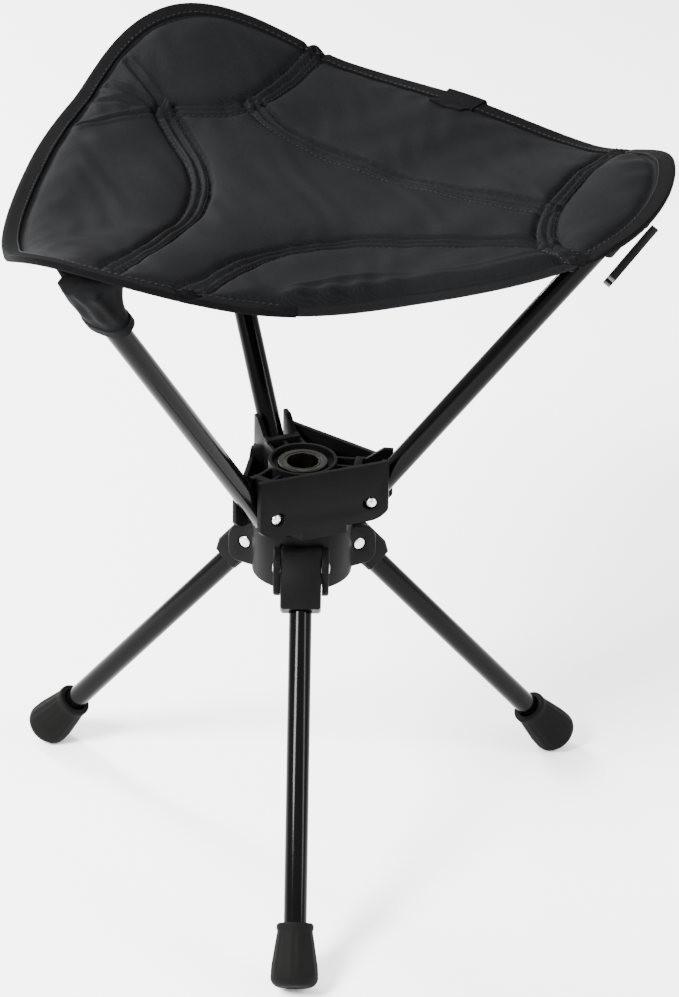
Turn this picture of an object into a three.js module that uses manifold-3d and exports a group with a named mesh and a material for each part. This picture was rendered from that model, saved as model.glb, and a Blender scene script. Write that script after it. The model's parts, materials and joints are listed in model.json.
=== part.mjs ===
// Folding field stool: three swing-down legs in a round lower hub, three swing-up arms in an upper
// hub that swivels on it, and a padded fabric seat held by its corners on the arm tips.
// Millimetres, +Z up, standing on z = 0 with the origin in the middle of its footprint.

import * as THREE from 'three';
import { mergeVertices } from 'three/addons/utils/BufferGeometryUtils.js';
import Module from 'manifold-3d';

const wasm = await Module();
wasm.setup();

// ---------------------------------------------------------------- driving dimensions

const GAP = 0.3;                 // clearance between pieces that touch
const AXIS_X = -20.5;            // swivel axis, seen from the middle of the footprint
const AXIS_Y = -1.4;

const TUBE_R = 8;                // 16 mm steel tube for legs and arms
const TUBE_WALL = 1.2;

const LEG_AZIMUTHS = { front: 270, right: 30, left: 150 };
const LEG_PIVOT_R = 35.8;
const LEG_PIVOT_Z = 231.8;
const LEG_SLOPE = 50;            // below the horizontal
const FOOT_END_Z = 7.4;          // height of the foot's end point on the leg's axis

const ARM_AZIMUTHS = { right: -7.6, back: 112.4, left: 232.4 };
const PLATE_AZIMUTHS = { front: -60, right: 60, left: 180 };   // from the right arm
const ARM_PIVOT_R = 50.5;
const ARM_PIVOT_Z = 278.7;
const ARM_SLOPE = 53.2;          // above the horizontal
const ARM_TAIL = 11;             // tube below the arm's pin
const ARM_LENGTH = 297;          // pin to the upper end of the tube

const LOWER_HUB_R = 35.4;
const LOWER_HUB_BOTTOM = 213.2;
const LOWER_HUB_TOP = 256;
const KNUCKLE_HALF_W = 14.3;
const KNUCKLE_DOME_R = 16.5;
const KNUCKLE_OUT = 14.5;        // tube axis to the knuckle's outer face
const KNUCKLE_IN = 9;            // tube axis to its inner face
const KNUCKLE_END = 31;
const EAR_FACE = 19.6;           // leg plane to the outer face of an ear
const EAR_R = 14;

const UPPER_HUB_BOTTOM = 258.8;
const PLATE_DISTANCE = 42;       // swivel axis to the three flat side plates
const PLATE_HALF_LENGTH = 47.7;
const PLATE_TOPS = { front: 309, right: 299, left: 284 };
const PLATE_WALL = 3.2;
const CHANNEL_HALF_W = 9.5;
const CHANNEL_BACK = 41.3;       // swivel axis to the wall behind an arm
const CHANNEL_TOP = 307;         // outer tips of the walls beside an arm
const CHANNEL_SILL = 298;        // their inner ends, and the wall behind the arm
const FLOOR_TOP = 266;
const BOSS_R = 24.2;
const BOSS_TOP = 299.6;
const RIB_TOP = 296.6;
const RIB_HALF_W = 1.1;
const RIB_SPREAD = 12;           // an arm's plane to the ribs either side of it
const SPINDLE_R = 12.9;

const PIN_R = 3;
const PIN_HEAD_R = 4.25;

const FOOT_LENGTH = 44;
const FOOT_MOUTH_R = 12.7;
const FOOT_MAX_R = 16.5;
const FOOT_TOE_ROUNDING = 7;

// The seat's edge every 30 degrees from the right arm: distance from the swivel axis, and height.
const SEAT_EDGE_R = [248, 215, 187, 213, 249, 211, 194, 215, 250, 205, 185, 248];
const SEAT_EDGE_Z = [544, 505, 511, 508, 546, 511, 500, 497, 540, 513, 506, 534];
const SEAT_CENTRE_Z = 498;
const SEAT_MIDDLE_HALF = 3.6;    // half the padding's thickness in the middle
const SEAT_EDGE_HALF = 2.2;      // and at the edge

const POCKET_START = 250;        // along the arm, from its pin
const POCKET_END = 302.5;
const POCKET_HALF_W = 19;
const POCKET_HALF_D = 10.6;

const LOOP_AZIMUTH = 61;         // from the right arm
const LOOP_TILT = 7;
const LOOP_HALF_W = 16;
const LOOP_LENGTH = 32;          // over the edge, from its fold
const LOOP_OPEN_HALF = 4;
const LOOP_TAPE = 1.5;

const TAB_AZIMUTH = -12;         // the hook's short strap, under the seat's edge
const TAB_R = 241;
const TAB_HALF_W = 9;
const TAB_BOTTOM = 521;
const TAB_TOP = 533;
const HOOK_LENGTH = 46;
const HOOK_WIDTH = 20;
const HOOK_THICKNESS = 5.5;
const HOOK_CENTRE = new THREE.Vector3(225.5, -64, 503);     // right arm along +X
const HOOK_ALONG = new THREE.Vector3(-0.533, -0.66, -0.524);
const HOOK_ACROSS = new THREE.Vector3(-0.266, 0.723, -0.637);

// ---------------------------------------------------------------- materials

const material = (color, roughness, metalness) =>
  new THREE.MeshStandardMaterial({ color, roughness, metalness });

const LOOKS = {
  tube: material(0x17171a, 0.32, 0.5),
  plastic: material(0x1b1b1d, 0.5, 0),
  rubber: material(0x121212, 0.8, 0),
  rivet: material(0xb9bbbd, 0.28, 1),
  spindle: material(0x6b5a48, 0.45, 0.9),
  fabric: material(0x1a1b1e, 0.92, 0),
  webbing: material(0x222326, 0.85, 0),
  buckle: material(0x2a2827, 0.45, 0),
};

// ---------------------------------------------------------------- helpers

const rad = THREE.MathUtils.degToRad;
const lerp = THREE.MathUtils.lerp;

// A closed BufferGeometry as a manifold solid.
function toSolid(geometry) {
  const bare = geometry.clone();
  bare.deleteAttribute('normal');
  bare.deleteAttribute('uv');
  const merged = mergeVertices(bare, 1e-4);
  return new wasm.Manifold(new wasm.Mesh({
    numProp: 3,
    vertProperties: new Float32Array(merged.attributes.position.array),
    triVerts: Uint32Array.from(merged.index.array),
  }));
}

// And back.
function toGeometry(solid) {
  const mesh = solid.getMesh();
  const geometry = new THREE.BufferGeometry();
  geometry.setAttribute('position', new THREE.BufferAttribute(mesh.vertProperties, 3));
  geometry.setIndex(new THREE.BufferAttribute(mesh.triVerts, 1));
  geometry.computeVertexNormals();
  return geometry;
}

const cut = (solid, ...tools) => tools.reduce((rest, tool) => rest.subtract(tool), solid);
const join = (solid, ...others) => others.reduce((whole, other) => whole.add(other), solid);

function block(x0, x1, y0, y1, z0, z1) {
  const box = new THREE.BoxGeometry(x1 - x0, y1 - y0, z1 - z0);
  box.translate((x0 + x1) / 2, (y0 + y1) / 2, (z0 + z1) / 2);
  return toSolid(box);
}

// An upright cylinder.
function rod(radius, z0, z1, sides = 32) {
  const cylinder = new THREE.CylinderGeometry(radius, radius, z1 - z0, sides);
  cylinder.rotateX(Math.PI / 2);
  cylinder.translate(0, 0, (z0 + z1) / 2);
  return toSolid(cylinder);
}

// A cylinder along Y from y0 to y1, centred on (x, z).
function crossRod(radius, y0, y1, x = 0, z = 0, sides = 16) {
  const cylinder = new THREE.CylinderGeometry(radius, radius, y1 - y0, sides);
  cylinder.translate(x, (y0 + y1) / 2, z);
  return toSolid(cylinder);
}

// An outline in the XZ plane, extruded from y = -half to y = +half with rounded edges.
function slab(shape, half, edge = 0, steps = 1) {
  const extruded = new THREE.ExtrudeGeometry(shape, {
    depth: 2 * (half - edge),
    bevelEnabled: edge > 0,
    bevelThickness: edge,
    bevelSize: edge,
    bevelOffset: -edge,
    bevelSegments: steps,
    curveSegments: 7,
  });
  extruded.rotateX(Math.PI / 2);
  extruded.translate(0, half - edge, 0);
  return toSolid(extruded);
}

// A profile of [radius, z] pairs turned about Z, listed anticlockwise.
function turned(profile, sides = 24) {
  const points = profile.map(([r, z]) => new THREE.Vector2(r, z));
  const lathe = new THREE.LatheGeometry(points, sides);
  lathe.rotateX(Math.PI / 2);
  return toSolid(lathe);
}

// A plain ring or tube.
const ring = (inner, outer, z0, z1, sides = 24) =>
  turned([[inner, z0], [outer, z0], [outer, z1], [inner, z1], [inner, z0]], sides);

const spin = (solid, azimuth) => solid.rotate([0, 0, azimuth]);

function addMesh(parent, name, solid, look) {
  const mesh = new THREE.Mesh(toGeometry(solid), LOOKS[look].clone());
  mesh.name = name;
  parent.add(mesh);
}

// A frame at a limb's pin, with +Z along the limb and -X on its upper side.
function limbFrame(azimuth, radius, height, tilt) {
  const turn = new THREE.Group();
  turn.rotation.z = rad(azimuth);
  const limb = new THREE.Group();
  limb.position.set(radius, 0, height);
  limb.rotation.y = rad(tilt);
  turn.add(limb);
  assembly.add(turn);
  return limb;
}

const stool = new THREE.Group();
const assembly = new THREE.Group();
assembly.position.set(AXIS_X, AXIS_Y, 0);
stool.add(assembly);

// ---------------------------------------------------------------- pins

// A rivet across a limb, with a flat head at each end.
function rivet(headStart, headEnd) {
  const shaft = crossRod(PIN_R, -headStart, headStart);
  const heads = [1, -1].map((side) => {
    const ends = [side * (headStart - 0.01), side * headEnd].sort((a, b) => a - b);
    return crossRod(PIN_HEAD_R, ends[0], ends[1]);
  });
  return join(shaft, ...heads);
}

// ---------------------------------------------------------------- lower hub and swivel

function lowerHub() {
  let hub = rod(LOWER_HUB_R, LOWER_HUB_BOTTOM, LOWER_HUB_TOP, 48);
  const ear = new THREE.Shape();
  ear.moveTo(20, LOWER_HUB_BOTTOM + 1);
  ear.lineTo(LEG_PIVOT_R + EAR_R - 8, LOWER_HUB_BOTTOM + 1);
  ear.absarc(LEG_PIVOT_R + EAR_R - 8, LOWER_HUB_BOTTOM + 9, 8, -Math.PI / 2, 0, false);
  ear.absarc(LEG_PIVOT_R, LEG_PIVOT_Z, EAR_R, 0, Math.PI / 2, false);
  ear.lineTo(20, LEG_PIVOT_Z + EAR_R);
  ear.closePath();
  const slotHalf = KNUCKLE_HALF_W + GAP;
  const dome = KNUCKLE_DOME_R + 2 * GAP;
  const reach = LEG_PIVOT_R + 30;
  for (const azimuth of Object.values(LEG_AZIMUTHS)) {
    hub = hub.add(spin(slab(ear, EAR_FACE, 1.2), azimuth));
  }
  for (const azimuth of Object.values(LEG_AZIMUTHS)) {
    const swing = crossRod(dome, -slotHalf, slotHalf, LEG_PIVOT_R, LEG_PIVOT_Z, 32);
    const front = block(LEG_PIVOT_R, reach, -slotHalf, slotHalf, 200, LEG_PIVOT_Z + dome);
    const below = block(LEG_PIVOT_R - KNUCKLE_IN - 2 * GAP, reach, -slotHalf, slotHalf,
      200, LEG_PIVOT_Z);
    const hole = crossRod(PIN_R + GAP / 2, -30, 30, LEG_PIVOT_R, LEG_PIVOT_Z);
    const seats = [1, -1].map((side) => {
      const ends = [side * 18.4, side * 26].sort((a, b) => a - b);
      return crossRod(PIN_HEAD_R + 0.9, ends[0], ends[1], LEG_PIVOT_R, LEG_PIVOT_Z);
    });
    hub = cut(hub, ...[swing, front, below, hole, ...seats].map((tool) => spin(tool, azimuth)));
  }
  return hub.subtract(rod(SPINDLE_R + GAP, 218, LOWER_HUB_TOP + 5));
}

addMesh(assembly, 'lower_hub', lowerHub(), 'plastic');
addMesh(assembly, 'spindle', ring(SPINDLE_R - 1.6, SPINDLE_R, 218.3, 298), 'spindle');
addMesh(assembly, 'thrust_washer',
  ring(SPINDLE_R + GAP, 34.6, LOWER_HUB_TOP + GAP, UPPER_HUB_BOTTOM - GAP, 48), 'rivet');
addMesh(assembly, 'retaining_ring', ring(SPINDLE_R + GAP, 17.5, 295.9, 298.1), 'spindle');

// ---------------------------------------------------------------- legs

// The moulded clevis tongue that holds a leg tube and turns on the leg's pin.
function legKnuckle() {
  const side = new THREE.Shape();
  const outerStart = -Math.sqrt(KNUCKLE_DOME_R ** 2 - KNUCKLE_OUT ** 2);
  const innerStart = -Math.sqrt(KNUCKLE_DOME_R ** 2 - KNUCKLE_IN ** 2);
  side.absarc(0, 0, KNUCKLE_DOME_R, Math.atan2(outerStart, -KNUCKLE_OUT),
    Math.atan2(innerStart, KNUCKLE_IN), false);
  side.lineTo(KNUCKLE_IN, KNUCKLE_END - 2);
  side.lineTo(KNUCKLE_IN - 2, KNUCKLE_END);
  side.lineTo(-KNUCKLE_OUT + 4, KNUCKLE_END);
  side.lineTo(-KNUCKLE_OUT, KNUCKLE_END - 9);
  side.closePath();
  const body = slab(side, KNUCKLE_HALF_W, 1.6);
  const pinHole = crossRod(PIN_R + GAP / 2, -30, 30);
  return cut(body, pinHole, rod(TUBE_R + GAP, PIN_R + 4.7, KNUCKLE_END + 10));
}

// The rubber foot: a blind cup on the tube, worn flat where it meets the ground.
function foot(limb, length) {
  const start = length - FOOT_LENGTH;
  const floorOfCup = length - 9;
  const bore = TUBE_R + GAP;
  const toe = [];
  for (let step = 4; step >= 0; step -= 1) {
    const angle = Math.PI / 2 - (step * Math.PI) / 8;
    toe.push([FOOT_MAX_R + FOOT_TOE_ROUNDING * (Math.cos(angle) - 1),
      length + FOOT_TOE_ROUNDING * (Math.sin(angle) - 1)]);
  }
  const cup = turned([[0, length], [0, floorOfCup], [bore, floorOfCup], [bore, start],
    [FOOT_MOUTH_R - 0.9, start], [FOOT_MOUTH_R, start + 3], [FOOT_MOUTH_R + 1.2, start + 12],
    [FOOT_MAX_R, length - 12], ...toe, [0, length]]);
  limb.updateWorldMatrix(true, false);
  const end = new THREE.Vector3(0, 0, length).applyMatrix4(limb.matrixWorld);
  const ground = block(end.x - 60, end.x + 60, end.y - 60, end.y + 60, -60, 0);
  const standing = toSolid(toGeometry(cup).applyMatrix4(limb.matrixWorld));
  const worn = toGeometry(standing.subtract(ground));
  return toSolid(worn.applyMatrix4(limb.matrixWorld.clone().invert()));
}

const legLength = (LEG_PIVOT_Z - FOOT_END_Z) / Math.sin(rad(LEG_SLOPE));

for (const [name, azimuth] of Object.entries(LEG_AZIMUTHS)) {
  const limb = limbFrame(azimuth, LEG_PIVOT_R, LEG_PIVOT_Z, 90 + LEG_SLOPE);
  addMesh(limb, `leg_knuckle_${name}`, legKnuckle(), 'plastic');
  addMesh(limb, `leg_tube_${name}`,
    ring(TUBE_R - TUBE_WALL, TUBE_R, PIN_R + 5, legLength - 9.5), 'tube');
  addMesh(limb, `leg_rivet_${name}`, rivet(18.7, 20.3), 'rivet');
  addMesh(limb, `foot_${name}`, foot(limb, legLength), 'rubber');
}

// ---------------------------------------------------------------- upper hub

// The plan of the upper hub: three long flats with a narrow cut corner between each pair.
function hubPlan(distance, z0, z1) {
  const reach = Math.hypot(PLATE_DISTANCE, PLATE_HALF_LENGTH);
  const offCorner = 60 - THREE.MathUtils.radToDeg(Math.atan2(PLATE_HALF_LENGTH, PLATE_DISTANCE));
  const inset = distance / PLATE_DISTANCE;
  const corners = [0, 120, 240].flatMap((azimuth) => [azimuth - offCorner, azimuth + offCorner]);
  const outline = new THREE.Shape(corners.map((angle) => new THREE.Vector2(
    inset * reach * Math.cos(rad(angle)), inset * reach * Math.sin(rad(angle)))));
  const plan = new THREE.ExtrudeGeometry(outline, { depth: z1 - z0, bevelEnabled: false });
  plan.translate(0, 0, z0);
  return toSolid(plan);
}

// The walls round an arm's lower end, seen from the side: low behind the arm, rising beside it.
function channelWalls() {
  const side = new THREE.Shape();
  side.moveTo(36, UPPER_HUB_BOTTOM);
  side.lineTo(75, UPPER_HUB_BOTTOM);
  side.lineTo(75, CHANNEL_TOP);
  side.lineTo(ARM_PIVOT_R + 5, CHANNEL_TOP);
  side.lineTo(CHANNEL_BACK + 2, CHANNEL_SILL);
  side.lineTo(36, CHANNEL_SILL);
  side.closePath();
  return slab(side, CHANNEL_HALF_W + PLATE_WALL);
}

// What an arm's lower end needs: its channel, room for its tail, and holes for its pin.
function armCutters() {
  const above = CHANNEL_TOP + 20;
  const below = UPPER_HUB_BOTTOM - 10;
  const channel = block(CHANNEL_BACK, 75, -CHANNEL_HALF_W, CHANNEL_HALF_W, below, above);
  const tail = block(35.4, 75, -CHANNEL_HALF_W, CHANNEL_HALF_W, below, ARM_PIVOT_Z + 8);
  const under = block(35.4, 75, -40, 40, below, UPPER_HUB_BOTTOM + 5.9);
  const corner = block(ARM_PIVOT_R, 75, -40, 40, below, ARM_PIVOT_Z)
    .subtract(crossRod(14, -41, 41, ARM_PIVOT_R, ARM_PIVOT_Z, 32));
  const pin = crossRod(PIN_R + GAP / 2, -30, 30, ARM_PIVOT_R, ARM_PIVOT_Z);
  const headSpaces = [[16, 30], [-30, -16]].map(([start, end]) =>
    crossRod(PIN_HEAD_R + 0.9, start, end, ARM_PIVOT_R, ARM_PIVOT_Z));
  return [channel, tail, under, corner, pin, ...headSpaces];
}

function upperHub() {
  const tallest = PLATE_TOPS.front;
  const whole = hubPlan(PLATE_DISTANCE, UPPER_HUB_BOTTOM, tallest);
  let hub = whole.subtract(hubPlan(PLATE_DISTANCE - PLATE_WALL, FLOOR_TOP, tallest + 10));
  for (const [name, azimuth] of Object.entries(PLATE_AZIMUTHS)) {
    const above = block(PLATE_DISTANCE - 15, 80, -80, 80, PLATE_TOPS[name], tallest + 10);
    hub = hub.subtract(spin(above, azimuth));
  }
  hub = hub.add(rod(BOSS_R, UPPER_HUB_BOTTOM, BOSS_TOP, 48));
  for (const azimuth of [0, 120, 240]) {
    const ribs = [-RIB_SPREAD, 0, RIB_SPREAD].map((side) =>
      block(18, 40, side - RIB_HALF_W, side + RIB_HALF_W, FLOOR_TOP - 1, RIB_TOP));
    const plateRib = block(-PLATE_DISTANCE + 1, -BOSS_R + 3, -RIB_HALF_W, RIB_HALF_W,
      FLOOR_TOP - 1, PLATE_TOPS.left - 2);
    const pinBoss = crossRod(9, -24, 24, ARM_PIVOT_R, ARM_PIVOT_Z);
    const corner = join(channelWalls(), pinBoss, ...ribs, plateRib);
    hub = hub.add(spin(corner, azimuth).intersect(whole));
  }
  for (const azimuth of [0, 120, 240]) {
    hub = cut(hub, ...armCutters().map((tool) => spin(tool, azimuth)));
  }
  return cut(hub, rod(22, BOSS_TOP - 4, BOSS_TOP + 5, 48), rod(15.6, 250, BOSS_TOP));
}

const swivel = new THREE.Group();
swivel.rotation.z = rad(ARM_AZIMUTHS.right);
assembly.add(swivel);
addMesh(swivel, 'upper_hub', upperHub(), 'plastic');
addMesh(swivel, 'swivel_bushing',
  ring(SPINDLE_R + GAP, 15.3, UPPER_HUB_BOTTOM, BOSS_TOP - 4), 'plastic');

// ---------------------------------------------------------------- arms

// The sewn pocket under a seat corner: a flat sleeve, closed at the tip, with a hem at its mouth.
function cornerPocket() {
  const section = new THREE.Shape();
  const corner = 8;
  const w = POCKET_HALF_D;
  const h = POCKET_HALF_W;
  section.moveTo(-w, -h + corner);
  section.lineTo(-w, h - corner);
  section.absarc(-w + corner, h - corner, corner, Math.PI, Math.PI / 2, true);
  section.absarc(w - corner, h - corner, corner, Math.PI / 2, 0, true);
  section.absarc(w - corner, -h + corner, corner, 0, -Math.PI / 2, true);
  section.absarc(-w + corner, -h + corner, corner, -Math.PI / 2, -Math.PI, true);
  const sleeve = new THREE.ExtrudeGeometry(section, {
    depth: POCKET_END - POCKET_START - 3,
    bevelEnabled: true,
    bevelThickness: 1.5,
    bevelSize: 1.5,
    bevelOffset: -1.5,
    bevelSegments: 1,
    curveSegments: 4,
  });
  sleeve.translate(0, 0, POCKET_START + 1.5);
  return toSolid(sleeve).subtract(rod(TUBE_R + 2 * GAP, POCKET_START - 5, ARM_LENGTH + 2.6, 24));
}

for (const [name, azimuth] of Object.entries(ARM_AZIMUTHS)) {
  const limb = limbFrame(azimuth, ARM_PIVOT_R, ARM_PIVOT_Z, 90 - ARM_SLOPE);
  const pinHole = crossRod(PIN_R + GAP / 2, -20, 20);
  const bore = TUBE_R - TUBE_WALL;
  addMesh(limb, `arm_tube_${name}`,
    ring(bore, TUBE_R, -ARM_TAIL, ARM_LENGTH).subtract(pinHole), 'tube');
  addMesh(limb, `arm_rivet_${name}`, rivet(16.3, 19.8), 'rivet');
  addMesh(limb, `arm_tail_plug_${name}`, turned([[0, -ARM_TAIL - 2], [TUBE_R - 1.5, -ARM_TAIL - 2],
    [TUBE_R, -ARM_TAIL - 1], [TUBE_R, -ARM_TAIL - GAP], [bore - GAP, -ARM_TAIL - GAP],
    [bore - GAP, -PIN_R - 1], [0, -PIN_R - 1]]), 'plastic');
  addMesh(limb, `arm_tip_cap_${name}`, turned([[0, ARM_LENGTH - 12], [bore - GAP, ARM_LENGTH - 12],
    [bore - GAP, ARM_LENGTH + GAP], [TUBE_R, ARM_LENGTH + GAP], [TUBE_R - 1, ARM_LENGTH + 2],
    [0, ARM_LENGTH + 2]]), 'plastic');
  addMesh(limb, `corner_pocket_${name}`, cornerPocket(), 'fabric');
}

// ---------------------------------------------------------------- seat

// A smooth value between twelve given ones, spaced evenly round the seat.
function betweenTwelve(values, azimuth) {
  const place = THREE.MathUtils.euclideanModulo(azimuth, 360) / 30;
  const first = Math.floor(place);
  const t = place - first;
  const [a, b, c, d] = [11, 0, 1, 2].map((step) => values[(first + step) % 12]);
  const linear = c - a;
  const square = 2 * a - 5 * b + 4 * c - d;
  const cube = 3 * b - a - 3 * c + d;
  return b + (linear * t + square * t ** 2 + cube * t ** 3) / 2;
}

const seatEdge = (azimuth) => ({
  radius: betweenTwelve(SEAT_EDGE_R, azimuth),
  height: betweenTwelve(SEAT_EDGE_Z, azimuth),
});

// The dished panel, rising with the square of the distance from the centre.
function seatPanel() {
  const around = 54;
  const rings = 6;
  const positions = [];
  const addPoint = (azimuth, ratio, side) => {
    const { radius, height } = seatEdge(azimuth);
    const reach = radius * ratio;
    const rise = (height - SEAT_CENTRE_Z) * ratio ** 2;
    const half = lerp(SEAT_MIDDLE_HALF, SEAT_EDGE_HALF, ratio);
    positions.push(reach * Math.cos(rad(azimuth)), reach * Math.sin(rad(azimuth)),
      SEAT_CENTRE_Z + rise + side * half);
  };
  for (const side of [1, -1]) {
    addPoint(0, 0, side);
    for (let ringIndex = 1; ringIndex <= rings; ringIndex += 1) {
      for (let step = 0; step < around; step += 1) {
        addPoint((step * 360) / around, ringIndex / rings, side);
      }
    }
  }
  const layer = 1 + rings * around;
  const at = (side, ringIndex, step) =>
    (ringIndex === 0 ? 0 : 1 + (ringIndex - 1) * around + (step % around)) + side * layer;
  const faces = [];
  for (let step = 0; step < around; step += 1) {
    faces.push(0, at(0, 1, step), at(0, 1, step + 1));
    faces.push(at(1, 0, 0), at(1, 1, step + 1), at(1, 1, step));
    for (let ringIndex = 1; ringIndex < rings; ringIndex += 1) {
      const [a, b] = [at(0, ringIndex, step), at(0, ringIndex + 1, step)];
      const [c, d] = [at(0, ringIndex + 1, step + 1), at(0, ringIndex, step + 1)];
      faces.push(a, b, c, a, c, d);
      faces.push(a + layer, c + layer, b + layer, a + layer, d + layer, c + layer);
    }
    const [p, q] = [at(0, rings, step), at(0, rings, step + 1)];
    faces.push(p, p + layer, q + layer, p, q + layer, q);
  }
  const geometry = new THREE.BufferGeometry();
  geometry.setAttribute('position', new THREE.Float32BufferAttribute(positions, 3));
  geometry.setIndex(faces);
  return toSolid(geometry);
}

addMesh(swivel, 'seat_panel', seatPanel(), 'fabric');

// A group on the seat's edge, with +X outwards, +Z up and the origin on the edge itself.
function edgeFrame(azimuth, tilt) {
  const { radius, height } = seatEdge(azimuth);
  const turn = new THREE.Group();
  turn.rotation.z = rad(azimuth);
  const place = new THREE.Group();
  place.position.set(radius, 0, height);
  place.rotation.y = rad(tilt);
  turn.add(place);
  swivel.add(turn);
  return place;
}

// A hanging loop: a tape folded over the seat's edge.
function hangingLoop() {
  const fold = 4;
  const half = LOOP_OPEN_HALF + LOOP_TAPE;
  const folded = block(fold + LOOP_TAPE - LOOP_LENGTH, fold + LOOP_TAPE, -LOOP_HALF_W, LOOP_HALF_W,
    -half, half);
  const inside = block(-LOOP_LENGTH, fold, -LOOP_HALF_W - 1, LOOP_HALF_W + 1,
    -LOOP_OPEN_HALF, LOOP_OPEN_HALF);
  return folded.subtract(inside);
}

addMesh(edgeFrame(LOOP_AZIMUTH, -LOOP_TILT), 'hanging_loop', hangingLoop(), 'webbing');

// The strap that ties the folded stool: a tab under the seat's edge, with a hook plate on its end.
function hookFrame() {
  const across = HOOK_ACROSS.clone().addScaledVector(HOOK_ALONG, -HOOK_ACROSS.dot(HOOK_ALONG));
  const facing = HOOK_ALONG.clone().cross(across);
  const place = new THREE.Group();
  place.position.copy(HOOK_CENTRE);
  place.quaternion.setFromRotationMatrix(new THREE.Matrix4().makeBasis(
    HOOK_ALONG.clone().normalize(), across.normalize(), facing.normalize()));
  swivel.add(place);
  return place;
}

function hookPlate() {
  const end = HOOK_LENGTH / 2;
  const side = HOOK_WIDTH / 2;
  const half = HOOK_THICKNESS / 2;
  const plate = block(-end, end, -side, side, -half, half);
  const strapSlot = block(-end + 4, -end + 8, -side + 3.5, side - 3.5, -half - 1, half + 1);
  const catchSlot = block(-end + 14, end + 1, -3, 3, -half - 1, half + 1);
  return cut(plate, strapSlot, catchSlot);
}

const strapTab = block(TAB_R - 1.2, TAB_R + 1.2, -TAB_HALF_W, TAB_HALF_W, TAB_BOTTOM, TAB_TOP);
addMesh(swivel, 'strap_tab', spin(strapTab, TAB_AZIMUTH), 'webbing');
addMesh(hookFrame(), 'strap_hook', hookPlate(), 'buckle');

export default stool;
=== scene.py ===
# Looks of the folding field stool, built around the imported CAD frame. Metres, +Z up.
import json
import math

import bmesh
import bpy
import numpy as np
from mathutils import Matrix, Vector

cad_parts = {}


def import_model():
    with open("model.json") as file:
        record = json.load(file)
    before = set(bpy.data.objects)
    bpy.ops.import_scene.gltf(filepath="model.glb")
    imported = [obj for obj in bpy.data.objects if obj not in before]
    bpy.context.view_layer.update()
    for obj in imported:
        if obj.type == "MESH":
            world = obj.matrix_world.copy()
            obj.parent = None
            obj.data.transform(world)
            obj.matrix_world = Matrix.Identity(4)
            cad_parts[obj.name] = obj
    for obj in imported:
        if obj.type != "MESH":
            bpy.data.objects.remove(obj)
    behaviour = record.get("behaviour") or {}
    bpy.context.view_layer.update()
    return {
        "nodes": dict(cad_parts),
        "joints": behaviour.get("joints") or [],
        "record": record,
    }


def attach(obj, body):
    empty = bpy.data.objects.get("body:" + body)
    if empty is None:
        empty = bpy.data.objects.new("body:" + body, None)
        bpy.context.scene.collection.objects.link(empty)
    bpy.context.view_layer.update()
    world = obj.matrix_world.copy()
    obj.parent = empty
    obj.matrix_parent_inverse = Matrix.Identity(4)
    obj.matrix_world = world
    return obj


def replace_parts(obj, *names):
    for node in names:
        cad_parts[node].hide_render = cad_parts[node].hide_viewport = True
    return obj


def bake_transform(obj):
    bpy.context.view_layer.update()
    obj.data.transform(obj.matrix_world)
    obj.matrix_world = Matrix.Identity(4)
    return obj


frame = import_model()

MM = 0.001

# ---------------------------------------------------------------- the frame's own geometry

JOINTS = {joint["name"]: joint for joint in frame["joints"]}
AXIS = Vector(JOINTS["seat_swivel"]["pos_m"][:2] + [0.0])
ARMS = ("right", "back", "left")
LEGS = ("front", "right", "left")
ARM_SLOPE = math.radians(53.2)
LEG_SLOPE = math.radians(50.0)


def arm_azimuth(name):
    """The direction an arm points in, seen from above."""
    x, y, _ = JOINTS[f"arm_{name}_fold"]["axis"]
    return math.atan2(x, -y)


def leg_azimuth(name):
    """The direction a leg points in, seen from above."""
    x, y, _ = JOINTS[f"leg_{name}_fold"]["axis"]
    return math.atan2(-x, y)


def limb_matrix(joint, azimuth, slope):
    """A frame at the limb's pin: +Z along the limb, -X on its upper side, +Y across it."""
    along = Vector((math.cos(azimuth) * math.cos(slope), math.sin(azimuth) * math.cos(slope),
                    math.sin(slope)))
    across = Vector((-math.sin(azimuth), math.cos(azimuth), 0.0))
    below = across.cross(along)
    matrix = Matrix((below, across, along)).transposed().to_4x4()
    matrix.translation = Vector(JOINTS[joint]["pos_m"])
    return matrix


def arm_matrix(name):
    return limb_matrix(f"arm_{name}_fold", arm_azimuth(name), ARM_SLOPE)


def leg_matrix(name):
    return limb_matrix(f"leg_{name}_fold", leg_azimuth(name), -LEG_SLOPE)


SEAT_TURN = arm_azimuth("right")

# ---------------------------------------------------------------- materials


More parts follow.
